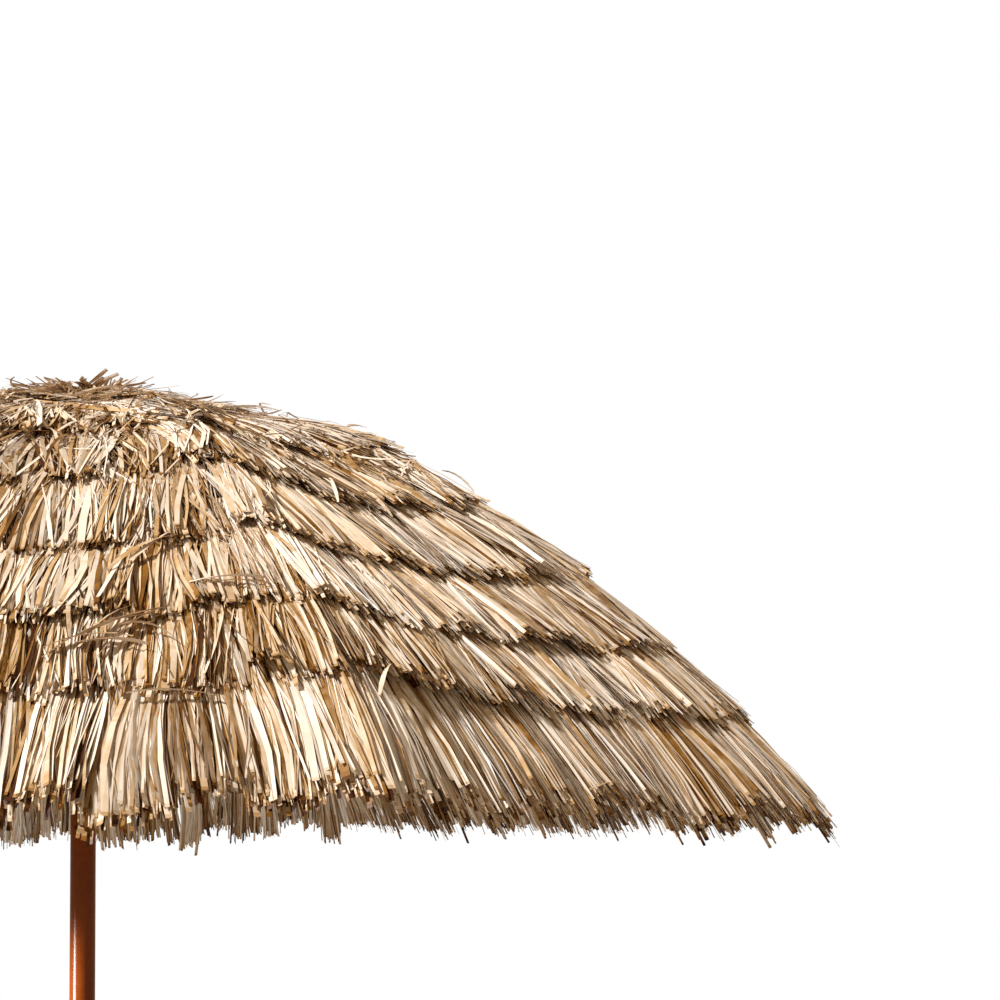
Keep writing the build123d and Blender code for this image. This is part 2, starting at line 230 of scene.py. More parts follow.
def strandTree():
    # sweeps a flat closed ribbon along every line of a guide mesh
    tree = bpy.data.node_groups.new("strandSweep", "GeometryNodeTree")
    face = tree.interface
    face.new_socket("Geometry", in_out="INPUT", socket_type="NodeSocketGeometry")
    face.new_socket("Geometry", in_out="OUTPUT", socket_type="NodeSocketGeometry")
    face.new_socket("Sides", in_out="INPUT", socket_type="NodeSocketInt").default_value = 3
    face.new_socket("Flatness", in_out="INPUT", socket_type="NodeSocketFloat").default_value = 0.2
    face.new_socket("Finish", in_out="INPUT", socket_type="NodeSocketMaterial")
    n, link = tree.nodes.new, tree.links.new
    given = n("NodeGroupInput")
    made = n("NodeGroupOutput")
    curve = n("GeometryNodeMeshToCurve")
    normal = n("GeometryNodeSetCurveNormal")
    normal.mode = "Z_UP"
    width = n("GeometryNodeInputNamedAttribute")
    roll = n("GeometryNodeInputNamedAttribute")
    for reader, name in ((width, "halfWidth"), (roll, "roll")):
        reader.data_type = "FLOAT"
        reader.inputs["Name"].default_value = name
    radius = n("GeometryNodeSetCurveRadius")
    tilt = n("GeometryNodeSetCurveTilt")
    ring = n("GeometryNodeCurvePrimitiveCircle")
    corner = n("GeometryNodeInputIndex")
    fromEdge = n("ShaderNodeMath")
    label = n("GeometryNodeStoreNamedAttribute")
    turned = n("GeometryNodeTransform")
    squeeze = n("ShaderNodeCombineXYZ")
    pressed = n("GeometryNodeTransform")
    sweep = n("GeometryNodeCurveToMesh")
    shading = n("GeometryNodeSetShadeSmooth")
    whole = n("GeometryNodeRealizeInstances")
    paint = n("GeometryNodeSetMaterial")
    link(given.outputs["Geometry"], curve.inputs["Mesh"])
    link(curve.outputs[0], normal.inputs["Curve"])
    link(normal.outputs[0], radius.inputs["Curve"])
    link(width.outputs[0], radius.inputs["Radius"])
    link(radius.outputs[0], tilt.inputs["Curve"])
    link(roll.outputs[0], tilt.inputs["Tilt"])
    ring.mode = "RADIUS"
    ring.inputs["Radius"].default_value = 1.0
    link(given.outputs["Sides"], ring.inputs["Resolution"])
    label.data_type, label.domain = "FLOAT", "POINT"
    label.inputs["Name"].default_value = "edge"
    fromEdge.operation = "MINIMUM"
    fromEdge.inputs[1].default_value = 1.0
    link(corner.outputs[0], fromEdge.inputs[0])
    turned.inputs["Rotation"].default_value = (0, 0, math.pi / 2)
    squeeze.inputs["X"].default_value = squeeze.inputs["Z"].default_value = 1.0
    link(ring.outputs[0], label.inputs["Geometry"])
    link(fromEdge.outputs[0], label.inputs["Value"])
    link(label.outputs[0], turned.inputs["Geometry"])
    link(given.outputs["Flatness"], squeeze.inputs["Y"])
    link(turned.outputs[0], pressed.inputs["Geometry"])
    link(squeeze.outputs[0], pressed.inputs["Scale"])
    link(tilt.outputs[0], sweep.inputs["Curve"])
    link(pressed.outputs[0], sweep.inputs["Profile Curve"])
    link(width.outputs[0], sweep.inputs["Scale"])
    sweep.inputs["Fill Caps"].default_value = True
    link(sweep.outputs[0], shading.inputs["Geometry"])
    shading.inputs["Shade Smooth"].default_value = False
    link(shading.outputs[0], whole.inputs["Geometry"])
    link(whole.outputs[0], paint.inputs["Geometry"])
    link(given.outputs["Finish"], paint.inputs["Material"])
    link(paint.outputs[0], made.inputs[0])
    return tree


sweepTree = strandTree()
ribbonSide = 1.73  # side of a three-sided profile whose radius is 1


def sweepStrands(name, strands, flatness, sides=3):
    # a closed mesh of ribbons along the given lines
    count, size = strands["points"].shape[:2]
    guide = bpy.data.meshes.new(name + "Guide")
    first = np.arange(count)[:, None] * size + np.arange(size - 1)[None, :]
    edges = np.stack([first, first + 1], -1).reshape(-1, 2)
    guide.vertices.add(count * size)
    guide.vertices.foreach_set("co", strands["points"].astype(np.float32).ravel())
    guide.edges.add(len(edges))
    guide.edges.foreach_set("vertices", edges.astype(np.int32).ravel())
    for key in ("halfWidth", "roll", "along", "tone"):
        values = strands[key]
        if values.ndim == 1:
            values = np.repeat(values[:, None], size, 1)
        layer = guide.attributes.new(key, "FLOAT", "POINT")
        layer.data.foreach_set("value", values.astype(np.float32).ravel())
    guide.update()
    holder = bpy.data.objects.new(name + "Holder", guide)
    scene.collection.objects.link(holder)
    sweep = holder.modifiers.new("sweep", "NODES")
    sweep.node_group = sweepTree
    sockets = {s.name: s.identifier for s in sweepTree.interface.items_tree if s.in_out == "INPUT"}
    sweep[sockets["Sides"]] = sides
    sweep[sockets["Flatness"]] = flatness
    sweep[sockets["Finish"]] = strawLook
    ready = holder.evaluated_get(bpy.context.evaluated_depsgraph_get())
    mesh = bpy.data.meshes.new_from_object(ready)
    mesh.name = name
    bpy.data.objects.remove(holder)
    bpy.data.meshes.remove(guide)
    made = bpy.data.objects.new(name, mesh)
    scene.collection.objects.link(made)
    return made


# seven courses, the first at the crown: a list has one value for each
thatch = {
    "seed": 11,
    "perMetre": 1500,
    "points": 6,
    "firstRho": 0.06,
    "tipRho": [0.240, 0.440, 0.580, 0.720, 0.825, 0.907, 0.988],
    "roots": [0.045, 0.15, 0.34, 0.48, 0.63, 0.745, 0.825],
    "fan": [1.0, 1.2, 1.6, 2.0, 2.2, 2.4, 2.4],
    "thick": [0.011, 0.009, 0.008, 0.007, 0.0065, 0.0065, 0.008],
    "rag": [0.024, 0.014, 0.007, 0.005, 0.0042, 0.0042, 0.0032],
    "mess": [3.0, 2.3, 1.6, 1.1, 1.0, 0.95, 0.8],
    "reach": [0.02, 0.03, 0.020, 0.004, 0.004, 0.000, 0.004],
    "trim": [0.010, 0.010, 0.010, 0.009, 0.009, 0.009, 0.001],
    "broad": [1.0, 1.0, 1.0, 1.0, 1.0, 1.0, 1.06],
    "flatness": 0.18,
    "step": 0.009,
    "tuck": 0.010,
    "droop": 0.0022,
    "clothGap": 0.0105,
    "topGap": 0.003,
    "overRim": 0.92,
    "rimFall": 1.6,
    "tuft": 0.030,
    "tuftTurn": 6.5,
    "tuftTone": 0.10,
    "tuftLift": 0.0045,
    "tuftRag": 0.7,
    "tuftRoll": 17,
    "tuftBow": 0.006,
    "tuftWave": 0.0026,
    "freeShare": 0.35,
    "freeTurn": 0.2,
    "pinch": 0.8,
    "turn": 4.0,
    "turnMost": 0.8,
    "bow": 0.005,
    "wave": 0.0022,
    "roll": 17,
    "twist": 26,
    "edgeUpShare": 0.14,
    "edgeUp": 1.2,
    "width": 0.0039,
    "widthSpread": 0.38,
    "widthRange": (0.0020, 0.0085),
    "fineShare": 0.36,
    "fineTurn": 1.9,
    "fineWidth": (0.0010, 0.0022),
    "brownShare": 0.25,
    "brownTone": 0.62,
    "tone": 0.97,
    "toneSpread": 0.10,
    # painted shade: the next four set how much darker the deeper straws, their tucked roots and their buried
    # tips are made
    "deepShade": 0.34,
    "deepestShade": 0.26,
    "rootShade": 0.08,
    "tipShade": 0.10,
}


def courseStrands(rng, side, course, settings):
    # the straws of one course on one side of the canopy
    rho, root, mess, rag = (settings[key][course] for key in ("tipRho", "roots", "mess", "rag"))
    before = settings["tipRho"][course - 1] if course else settings["firstRho"]
    n = rho * math.cos(eighth)
    half = n * math.tan(eighth)
    count = int(settings["perMetre"] * 2 * half)
    u = (np.arange(count) + rng.random(count)) / count * 2 - 1
    w = u * half

    # neighbours fall in tufts that lean, lift and colour together
    tufts = int(2 * half / settings["tuft"]) + 3
    tuft = ((w + half) / settings["tuft"] + rng.normal(0, 0.2, count)).astype(int)
    tuft = np.clip(tuft, 0, tufts - 1)
    middle = (np.arange(tufts) + 0.5) * settings["tuft"] - half
    turnOf = rng.normal(0, math.radians(settings["tuftTurn"]) * mess, tufts)[tuft]
    turnOf = turnOf * np.where(rng.random(count) < settings["freeShare"], settings["freeTurn"], 1.0)
    toneOf = rng.normal(0, settings["tuftTone"], tufts)[tuft]
    liftOf = rng.normal(0, settings["tuftLift"], tufts)[tuft]
    longOf = rng.normal(0, rag * settings["tuftRag"], tufts)[tuft]
    rollOf = rng.normal(0, math.radians(settings["tuftRoll"]), tufts)[tuft]
    fine = rng.random(count) < settings["fineShare"]
    deep = rng.random(count) ** 1.25
    depth = deep * settings["thick"][course]

    # heading of each straw from the fall line, and its length
    direction = np.arctan(np.sign(u) * np.abs(u) ** settings["fan"][course] * math.tan(eighth))
    ownTurn = rng.normal(0, math.radians(settings["turn"]) * mess, count)
    direction += turnOf + ownTurn * np.where(fine, settings["fineTurn"], 1.0)
    direction = np.clip(direction, -settings["turnMost"], settings["turnMost"])
    back = (rho - root) * math.cos(eighth)
    reach = settings["reach"][course] * (1 - u * u)
    if course == len(settings["tipRho"]) - 1:
        reach = reach + betweenRibs(canopy["ribReach"], u, np.full(count, side)) * np.abs(u) ** 1.5
    size = (back + reach * math.cos(eighth)) / np.cos(direction) + longOf
    size = size + rng.normal(0, rag, count) - settings["trim"][course] * deep

    # its line in plan, out from the middle of the side
    s = np.linspace(0, 1, settings["points"])[None, :]
    pinch = (middle[tuft] - w) * rng.uniform(0.0, settings["pinch"], count)
    bow = rng.normal(0, settings["bow"] * mess, count)
    bow = bow + rng.normal(0, settings["tuftBow"] * max(0.0, mess - 0.9), tufts)[tuft]
    wave = rng.normal(0, settings["wave"] * mess, count)
    wave = wave + rng.normal(0, settings["tuftWave"] * mess, tufts)[tuft]
    along = size[:, None] * s
    outN = (n - back) + along * np.cos(direction)[:, None]
    outW = (w - back * np.tan(direction))[:, None] + along * np.sin(direction)[:, None]
    outW += (
        pinch[:, None] * (1 - s) ** 1.5
        + bow[:, None] * 4 * s * (1 - s)
        + wave[:, None] * np.sin(2 * math.pi * s)
    )
    turn = side * 2 * eighth
    x = outN * math.cos(turn) - outW * math.sin(turn)
    y = outN * math.sin(turn) + outW * math.cos(turn)

    # its height: tucked under the course above, and never into the cloth
    ring, place, part = acrossPlan(x, y)
    shown = np.clip((ring - before) / (rho - before), 0, 1.1)
    hidden = np.clip((before - ring) / 0.10, 0, 1)
    under = settings["step"] * np.clip(1 - shown, 0, 1) ** 0.85 + settings["tuck"] * hidden
    outIn = np.clip(shown, 0, 1)
    under = under + depth[:, None] * (0.35 + 0.65 * outIn) - liftOf[:, None] * outIn
    under = under - rng.normal(0, settings["droop"], count)[:, None] * s ** 2
    z = thatchHeight(ring, place, part, under)
    floor = clothHeight(ring, place, settings["clothGap"])
    floor = floor - np.clip(ring - settings["overRim"], 0, 1) * settings["rimFall"]
    z = np.maximum(z, floor + (1 - deep[:, None]) * settings["topGap"])

    # width, roll and colour, with painted shade on the deeper and tucked-in straws
    wide = rng.lognormal(math.log(settings["width"]), settings["widthSpread"], count)
    wide = np.clip(wide, *settings["widthRange"])
    wide = np.where(fine, rng.uniform(*settings["fineWidth"], count), wide) * settings["broad"][course]
    shape = np.interp(s, [0, 0.25, 0.75, 1], [0.6, 0.92, 1.0, 0.9])
    edgeUp = rng.random(count) < settings["edgeUpShare"]
    roll = rollOf + rng.normal(0, math.radians(settings["roll"]), count)
    roll = roll + np.where(edgeUp, rng.uniform(-settings["edgeUp"], settings["edgeUp"], count), 0)
    roll = roll[:, None] + rng.normal(0, math.radians(settings["twist"]), count)[:, None] * (s - 0.5)
    brown = rng.random(count) < settings["brownShare"]
    tone = np.where(brown, settings["brownTone"], settings["tone"]) + toneOf
    tone = tone + rng.normal(0, settings["toneSpread"], count)
    # painted shade: the deeper a straw lies in its course, the darker it is made
    tone = tone - settings["deepShade"] * deep - settings["deepestShade"] * np.clip(deep / 0.4 - 1.5, 0, 1)
    # painted shade: the part of each straw tucked under the course above is darker
    tone = tone[:, None] - settings["rootShade"] * np.clip(1 - shown * 3, 0, 1)
    # painted shade: the tips of the deeper straws darken towards their ends
    tone = tone - settings["tipShade"] * deep[:, None] * s ** 4
    return {
        "points": np.stack([x, y, z], -1),
        "halfWidth": wide[:, None] / ribbonSide * shape,
        "roll": roll,
        "along": np.repeat(s, count, 0),
        "tone": np.clip(tone, 0.02, 0.98),
        "rib": np.where(u > 0, side, (side - 1) % 8),
    }


def gathered(parts, rib):
    # the straws of every course that hang on one rib
    keys = ("points", "halfWidth", "roll", "along", "tone")
    return {key: np.concatenate([p[key][p["rib"] == rib] for p in parts]) for key in keys}


def looseStrands(rng, azimuth, rho, heading, size, wide, lift, tone, bend=0.16, kick=0.0):
    # straws lying across the thatch, each from its middle, with its heading from the fall line
    count = len(azimuth)
    s = np.linspace(-0.5, 0.5, thatch["points"])[None, :]
    head = (azimuth + heading)[:, None]
    curl = rng.normal(0, bend, count)[:, None] * (s * s - 0.08)
    x = rho[:, None] * np.cos(azimuth)[:, None] + size[:, None] * (s * np.cos(head) - curl * np.sin(head))
    y = rho[:, None] * np.sin(azimuth)[:, None] + size[:, None] * (s * np.sin(head) + curl * np.cos(head))
    ring, place, part = acrossPlan(x, y)
    arch = lift[:, None] * (1 - 3 * s * s) + kick * rng.normal(0.6, 1, count)[:, None] * (s + 0.5) ** 2
    z = thatchHeight(ring, place, part, -arch)
    shape = np.interp(s, [-0.5, -0.3, 0.3, 0.5], [0.6, 1.0, 1.0, 0.5])
    roll = rng.normal(0, 0.35, count)[:, None] + rng.normal(0, 0.8, count)[:, None] * s
    u = place[:, thatch["points"] // 2]
    side = part[:, thatch["points"] // 2]
    return {
        "points": np.stack([x, y, z], -1),
        "halfWidth": wide[:, None] / ribbonSide * shape,
        "roll": roll,
        "along": np.repeat(s + 0.5, count, 0),
        "tone": np.repeat(tone[:, None], thatch["points"], 1),
        "rib": np.where(u > 0, side, (side - 1) % 8),
    }


# a few straws that have worked loose: azimuth, ring radius, heading, length and width
strays = [
    (-82.5, 0.798, 104, 0.105, 0.0075), (-80.5, 0.792, 97, 0.090, 0.0065), (-83.0, 0.806, 88, 0.085, 0.0060),
    (-80.0, 0.800, 116, 0.080, 0.0070), (-81.5, 0.812, 78, 0.070, 0.0060), (-79.0, 0.806, 62, 0.060, 0.0065),
    (-82.0, 0.790, 124, 0.060, 0.0055), (-78.0, 0.868, 74, 0.085, 0.0060), (-73.0, 0.778, 70, 0.075, 0.0065),
    (-72.3, 0.786, 64, 0.065, 0.0045), (-78.6, 0.706, 112, 0.080, 0.0060), (-77.8, 0.700, 124, 0.055, 0.0060),
    (-65.0, 0.897, -40, 0.060, 0.0050), (-62.0, 0.480, 30, 0.070, 0.0055), (-45.0, 0.560, -12, 0.050, 0.0050),
    (-58.0, 0.365, 66, 0.080, 0.0055),
]
loose = {
    "spread": 60,
    "spreadLong": (0.03, 0.075),
    "spreadWide": (0.0015, 0.005),
    "tangle": 900,
    "tangleFrom": 0.11,
    "tangleTo": 0.50,
    "tangleTurn": 0.62,
    "tangleLong": (0.035, 0.085),
    "tangleWide": (0.0015, 0.0048),
    "tangleBend": 0.75,
    "tangleKick": 0.007,
}


def strayStrands(rng, settings):
    # the listed loose straws, and more that lie anywhere
    given = np.array(strays)
    more = settings["spread"]
    azimuth = np.concatenate([np.radians(given[:, 0]), rng.uniform(-math.pi, math.pi, more)])
    rho = np.concatenate([given[:, 1], rng.uniform(0.2, 0.95, more)])
    heading = np.concatenate([np.radians(given[:, 2]), rng.normal(0, 0.9, more)])
    size = np.concatenate([given[:, 3], rng.uniform(*settings["spreadLong"], more)])
    wide = np.concatenate([given[:, 4], rng.uniform(*settings["spreadWide"], more)])
    lift = rng.uniform(0.003, 0.007, more + len(given))
    tone = rng.uniform(0.68, 0.95, more + len(given))
    return looseStrands(rng, azimuth, rho, heading, size, wide, lift, tone)


def tangledStrands(rng, settings):
    # short bent straws that stand a little out of the upper courses
    count = settings["tangle"]
    azimuth = rng.uniform(-math.pi, math.pi, count)
    near, far = settings["tangleFrom"], settings["tangleTo"]
    rho = near + (far - near) * rng.random(count) ** 0.8
    heading = rng.normal(0, settings["tangleTurn"], count)
    size = rng.uniform(*settings["tangleLong"], count)
    wide = rng.uniform(*settings["tangleWide"], count)
    lift = rng.uniform(-0.002, 0.007, count)
    tone = rng.uniform(0.45, 0.95, count)
    bend, kick = settings["tangleBend"], settings["tangleKick"]
    return looseStrands(rng, azimuth, rho, heading, size, wide, lift, tone, bend, kick)


rng = np.random.default_rng(thatch["seed"])
courseCount = len(thatch["tipRho"])
courses = [courseStrands(rng, side, course, thatch) for course in range(courseCount) for side in range(8)]
courses.append(strayStrands(rng, loose))
courses.append(tangledStrands(rng, loose))
for k in range(8):
    piece = sweepStrands(f"thatch_{k + 1}", gathered(courses, k), thatch["flatness"])
    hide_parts(f"thatch_panel_{k + 1}")
    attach(piece, f"rib_{k + 1}")
    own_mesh(piece)
strawCount = sum(len(part["tone"]) for part in courses)
panelFaces = len(bpy.data.objects["thatch_1"].data.polygons)
print("thatch made", strawCount, "straws,", panelFaces, "faces in one panel")


tousle = {
    "seed": 5,
    "count": 620,
    "reach": 0.150,
    "from": 0.035,
    "turn": 0.55,
    "curl": 0.012,
    "top": 2.2670,
    "fall": (0.55, 0.08),
    "thick": 0.040,
    "stray": (0.004, 0.006),
    "capRho": 0.045,
    "capTop": 2.239,
    "width": (0.0018, 0.0062),
    "tone": 0.50,
    "layerShade": 0.24,
    "toneSpread": 0.13,
    "flatness": 0.14,
}


def crownStrands(rng, settings):
    # the tousled straws over the top of the pole
    count = settings["count"]
    azimuth = rng.uniform(-math.pi, math.pi, count)
    layer = rng.random(count)
    inner = rng.uniform(0.0, settings["from"], count)
    size = rng.uniform(0.45, 1.0, count) * (settings["reach"] - inner)
    heading = azimuth + rng.normal(0, settings["turn"], count)
    s = np.linspace(0, 1, thatch["points"])[None, :]
    x = (inner * np.cos(azimuth))[:, None] + size[:, None] * s * np.cos(heading)[:, None]
    y = (inner * np.sin(azimuth))[:, None] + size[:, None] * s * np.sin(heading)[:, None]
    curl = rng.normal(0, settings["curl"], count)[:, None] * s * s
    x = x - curl * np.sin(heading)[:, None]
    y = y + curl * np.cos(heading)[:, None]
    ring, place, part = acrossPlan(x, y)
    bowed, sloped = settings["fall"]
    drop, spring = settings["stray"]
    outer = settings["top"] - bowed * ring ** 2 - sloped * ring
    under = 0.002 + settings["thick"] * (1 - layer)[:, None] * (1 - 0.75 * s)
    under = under + drop * rng.normal(0, 1, count)[:, None] * s
    z = outer - under + spring * rng.normal(0, 1, count)[:, None] * s * s
    lowest = np.where(ring < settings["capRho"], settings["capTop"], thatchHeight(ring, place, part, 0.004))
    z = np.maximum(z, lowest)
    wide = rng.uniform(*settings["width"], count)
    # painted shade: the lower straws of the crown are darker
    tone = settings["tone"] + settings["layerShade"] * layer + rng.normal(0, settings["toneSpread"], count)
    return {
        "points": np.stack([x, y, z], -1),
        "halfWidth": wide[:, None] / ribbonSide * np.interp(s, [0, 0.3, 0.8, 1], [0.6, 1.0, 1.0, 0.8]),
        "roll": rng.normal(0, 0.5, count)[:, None] + rng.normal(0, 0.9, count)[:, None] * (s - 0.5),
        "along": np.repeat(s, count, 0),
        "tone": np.clip(tone, 0.05, 0.95),
    }


crownLines = crownStrands(np.random.default_rng(tousle["seed"]), tousle)
crown = sweepStrands("crown_straw", crownLines, tousle["flatness"])
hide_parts("crown_tuft")
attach(crown, "upper_pole")
print("crown made", len(crownLines["tone"]), "straws")

# the cloth under the straw, with its hem, and the washer of cloth at the crown
cloth = {
    "rows": 30,
    "columns": 12,
    "lift": 0.0079,
    "thick": 0.0012,
    "hem": 0.016,
    "hemThick": 0.0026,
    "arcStretch": 1.13,
    "colour": (0.30, 0.20, 0.115),
    "darker": (0.62, 0.60, 0.56),
    "lighter": 1.25,
    "weave": 230.0,
    "wear": 6.0,
    "roughness": 0.82,
    "sheen": 0.25,
    "glow": 0.18,
    "washerHole": 0.0055,
    "washerRings": 8,
    "washerSpokes": 48,
}


def clothMaterial(name, settings):
    made, tree, shader, out = newMaterial(name)
    uv = node(tree, "ShaderNodeUVMap").outputs[0]
    threads = {"Vector": uv, "Scale": settings["weave"], "Distortion": 0.3}
    warp = node(tree, "ShaderNodeTexWave", threads, bands_direction="X")
    weft = node(tree, "ShaderNodeTexWave", threads, bands_direction="Y")
    weave = maths(tree, "MULTIPLY", warp.outputs["Fac"], weft.outputs["Fac"])
    patches = {"Vector": uv, "Scale": settings["wear"], "Detail": 5.0, "Roughness": 0.6}
    wear = node(tree, "ShaderNodeTexNoise", patches).outputs[0]
    mixed = maths(tree, "MULTIPLY_ADD", weave, 0.35, maths(tree, "MULTIPLY", wear, 0.65))
    dark = tuple(c * d for c, d in zip(settings["colour"], settings["darker"]))
    light = tuple(c * settings["lighter"] for c in settings["colour"])
    colour = ramp(tree, mixed, [(0.2, dark), (0.55, settings["colour"]), (0.9, light)])
    tree.links.new(colour, shader.inputs["Base Color"])
    shader.inputs["Roughness"].default_value = settings["roughness"]
    shader.inputs["Sheen Weight"].default_value = settings["sheen"]
    bump = node(tree, "ShaderNodeBump", {"Height": weave, "Strength": 0.4, "Distance": 0.0004})
    tree.links.new(bump.outputs[0], shader.inputs["Normal"])
    through = node(tree, "ShaderNodeBsdfTranslucent", {"Color": colour})
    parts = {0: settings["glow"], 1: shader.outputs[0], 2: through.outputs[0]}
    both = node(tree, "ShaderNodeMixShader", parts)
    tree.links.new(both.outputs[0], out.inputs[0])
    return made


clothLook = clothMaterial("canvas", cloth)


def closedSheet(name, top, bottom, flat, look):
    # a thin closed mesh between two grids of points, with flat places as its UV map
    rows, columns = top.shape[:2]
    count = rows * columns
    points = np.concatenate([top.reshape(-1, 3), bottom.reshape(-1, 3)])
    grid = np.arange(count).reshape(rows, columns)
    a, b = grid[:-1, :-1].ravel(), grid[1:, :-1].ravel()
    c, d = grid[1:, 1:].ravel(), grid[:-1, 1:].ravel()
    faces = [np.stack([a, b, c, d], -1), np.stack([d, c, b, a], -1) + count]
    rim = np.concatenate([grid[0, :-1], grid[:-1, -1], grid[-1, :0:-1], grid[:0:-1, 0]])
    after = np.roll(rim, -1)
    faces.append(np.stack([rim, after, after + count, rim + count], -1))
    corners = [tuple(int(i) for i in f) for f in np.concatenate(faces)]
    mesh = bpy.data.meshes.new(name)
    mesh.from_pydata([tuple(p) for p in points], [], corners)
    uv = mesh.uv_layers.new(name="flat")
    places = np.concatenate([flat.reshape(-1, 2)] * 2)
    index = np.empty(len(mesh.loops), dtype=np.int32)
    mesh.loops.foreach_get("vertex_index", index)
    uv.data.foreach_set("uv", places[index].astype(np.float32).ravel())
    shape = bmesh.new()
    shape.from_mesh(mesh)
    bmesh.ops.recalc_face_normals(shape, faces=shape.faces)
    shape.to_mesh(mesh)
    shape.free()
    mesh.polygons.foreach_set("use_smooth", [True] * len(mesh.polygons))
    mesh.materials.append(look)
    made = bpy.data.objects.new(name, mesh)
    scene.collection.objects.link(made)
    return made


def petalGrid(k, lift, settings):
    # points of a cloth panel from the middle of one side over rib k to the middle of the next
    hemAt = canopy["clothTo"] - settings["hem"]
    rho = np.concatenate([
        np.linspace(canopy["clothFrom"], hemAt, settings["rows"]), [hemAt + 0.0005, canopy["clothTo"]],
    ])
    across = np.linspace(-1, 1, 2 * settings["columns"] + 1)
    rho, across = np.meshgrid(rho, across, indexing="ij")
    u = np.where(across < 0, across + 1, across - 1)
    u = np.where(across == 0, 1.0, u)
    side = np.where(across <= 0, k, k + 1)
    n = rho * math.cos(eighth)
    w = u * n * math.tan(eighth)
    turn = side * 2 * eighth
    x, y = n * np.cos(turn) - w * np.sin(turn), n * np.sin(turn) + w * np.cos(turn)
    thick = np.where(rho > hemAt + 0.0002, lift * settings["hemThick"], lift * settings["thick"])
    z = clothHeight(rho, u, settings["lift"] + thick / 2)
    flat = np.stack([across * n * math.tan(eighth), rho * settings["arcStretch"]], -1)
    return np.stack([x, y, z], -1), flat


for k in range(8):
    top, flat = petalGrid(k, 1, cloth)
    bottom, _ = petalGrid(k, -1, cloth)
    piece = closedSheet(f"canopy_cloth_{k + 1}", top, bottom, flat, clothLook)
    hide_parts(f"canopy_panel_{k + 1}")
    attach(piece, f"rib_{k + 1}")
    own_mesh(piece)


def crownPatch(settings):
    # a flat washer of cloth under the crown cap
    low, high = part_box("crown_patch")
    radii = np.linspace(settings["washerHole"], (high[0] - low[0]) / 2, settings["washerRings"])
    turn = np.linspace(0, 2 * math.pi, settings["washerSpokes"] + 1)[:-1]
    radii, turn = np.meshgrid(radii, turn, indexing="ij")
    middle = (low[2] + high[2]) / 2
    flat = np.stack([radii * np.cos(turn), radii * np.sin(turn)], -1)
    mesh = bpy.data.meshes.new("crown_cloth")
    shape = bmesh.new()
    rings = []
    for lift in (settings["thick"] / 2, -settings["thick"] / 2):
        rings.append([[shape.verts.new((p[0], p[1], middle + lift)) for p in row] for row in flat])
    count = turn.shape[1]
    for i in range(len(radii) - 1):
        for j in range(count):
            nxt = (j + 1) % count
            shape.faces.new([rings[0][i][j], rings[0][i + 1][j], rings[0][i + 1][nxt], rings[0][i][nxt]])
            shape.faces.new([rings[1][i][nxt], rings[1][i + 1][nxt], rings[1][i + 1][j], rings[1][i][j]])
    for i in (0, -1):
        for j in range(count):
            nxt = (j + 1) % count
            shape.faces.new([rings[0][i][j], rings[0][i][nxt], rings[1][i][nxt], rings[1][i][j]])
    bmesh.ops.recalc_face_normals(shape, faces=shape.faces)
    uv = shape.loops.layers.uv.new("flat")
    for face in shape.faces:
        for loop in face.loops:
            loop[uv].uv = loop.vert.co.xy
    shape.to_mesh(mesh)
    shape.free()
    mesh.materials.append(clothLook)
    made = bpy.data.objects.new("crown_cloth", mesh)
    scene.collection.objects.link(made)
    return made


patch = crownPatch(cloth)
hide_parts("crown_patch")
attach(patch, "upper_pole")


def frameMaterial(name, colour, rough, metal=1.0, coat=0.0, scale=400.0, bumpBy=0.0001, glossy=0.5):
    # paint, enamel, nylon or plain metal, a little uneven in colour and gloss
    made, tree, shader, out = newMaterial(name)
    place = node(tree, "ShaderNodeTexCoord").outputs["Object"]
    speckle = {"Vector": place, "Scale": scale, "Detail": 4.0, "Roughness": 0.6}
    fine = node(tree, "ShaderNodeTexNoise", speckle).outputs[0]
    cloudy = {"Vector": place, "Scale": 9.0, "Detail": 5.0, "Roughness": 0.62}
    broad = node(tree, "ShaderNodeTexNoise", cloudy).outputs[0]
    value = maths(tree, "MULTIPLY_ADD", fine, 0.4, maths(tree, "MULTIPLY", broad, 0.6))
    dark = tuple(c * 0.72 for c in colour)
    light = tuple(min(1.0, c * 1.22) for c in colour)
    tint = ramp(tree, value, [(0.30, dark), (0.50, colour), (0.74, light)])
    tree.links.new(tint, shader.inputs["Base Color"])
    roughness = maths(tree, "MULTIPLY_ADD", maths(tree, "SUBTRACT", value, 0.5), 0.30, rough)
    tree.links.new(roughness, shader.inputs["Roughness"])
    shader.inputs["Metallic"].default_value = metal
    shader.inputs["Coat Weight"].default_value = coat
    shader.inputs["Coat Roughness"].default_value = 0.08
    shader.inputs["Specular IOR Level"].default_value = glossy
    bump = node(tree, "ShaderNodeBump", {"Height": fine, "Strength": 0.25, "Distance": bumpBy})
    tree.links.new(bump.outputs[0], shader.inputs["Normal"])
    return made


